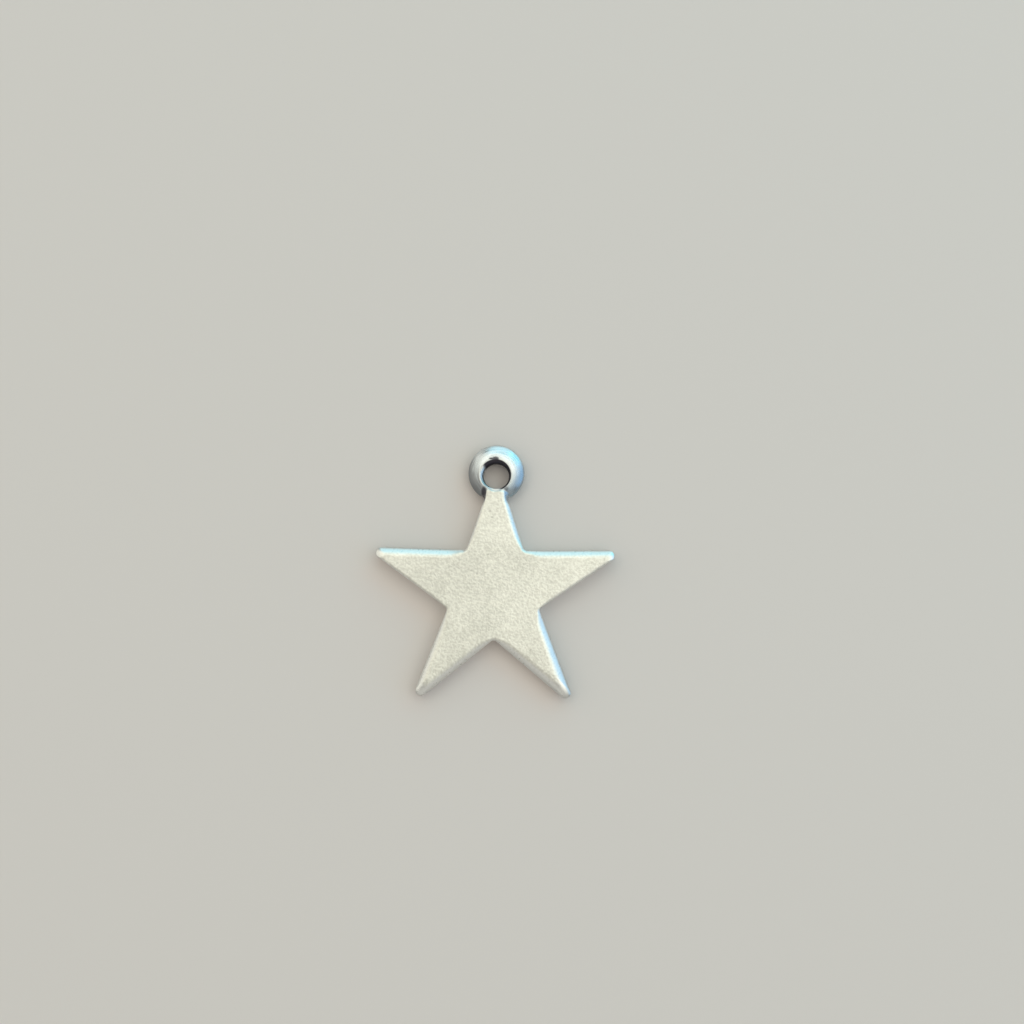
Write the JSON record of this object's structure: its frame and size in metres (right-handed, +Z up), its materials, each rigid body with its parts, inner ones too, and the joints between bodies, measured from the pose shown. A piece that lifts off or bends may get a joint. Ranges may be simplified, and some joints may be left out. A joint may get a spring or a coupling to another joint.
{
  "type": "star pendant",
  "caption": "Flat star charm with a satin face and rounded edges, cast in one with a round ring at its top point, by which it hangs from a jump ring.",
  "frame": {"origin": "on the surface that the charm lies on, under the middle of its outline", "axes": "+Z up through the face, +Y from the star's middle towards the hanging ring, +X to the right seen from the face"},
  "size_m": [0.012, 0.0128, 0.001],
  "materials": {
    "tumbled_steel": "fine satin face, tumbled and half polished edges and ring"
  },
  "bodies": {
    "root": {"star_pendant": "tumbled_steel"}
  },
  "joints": []
}
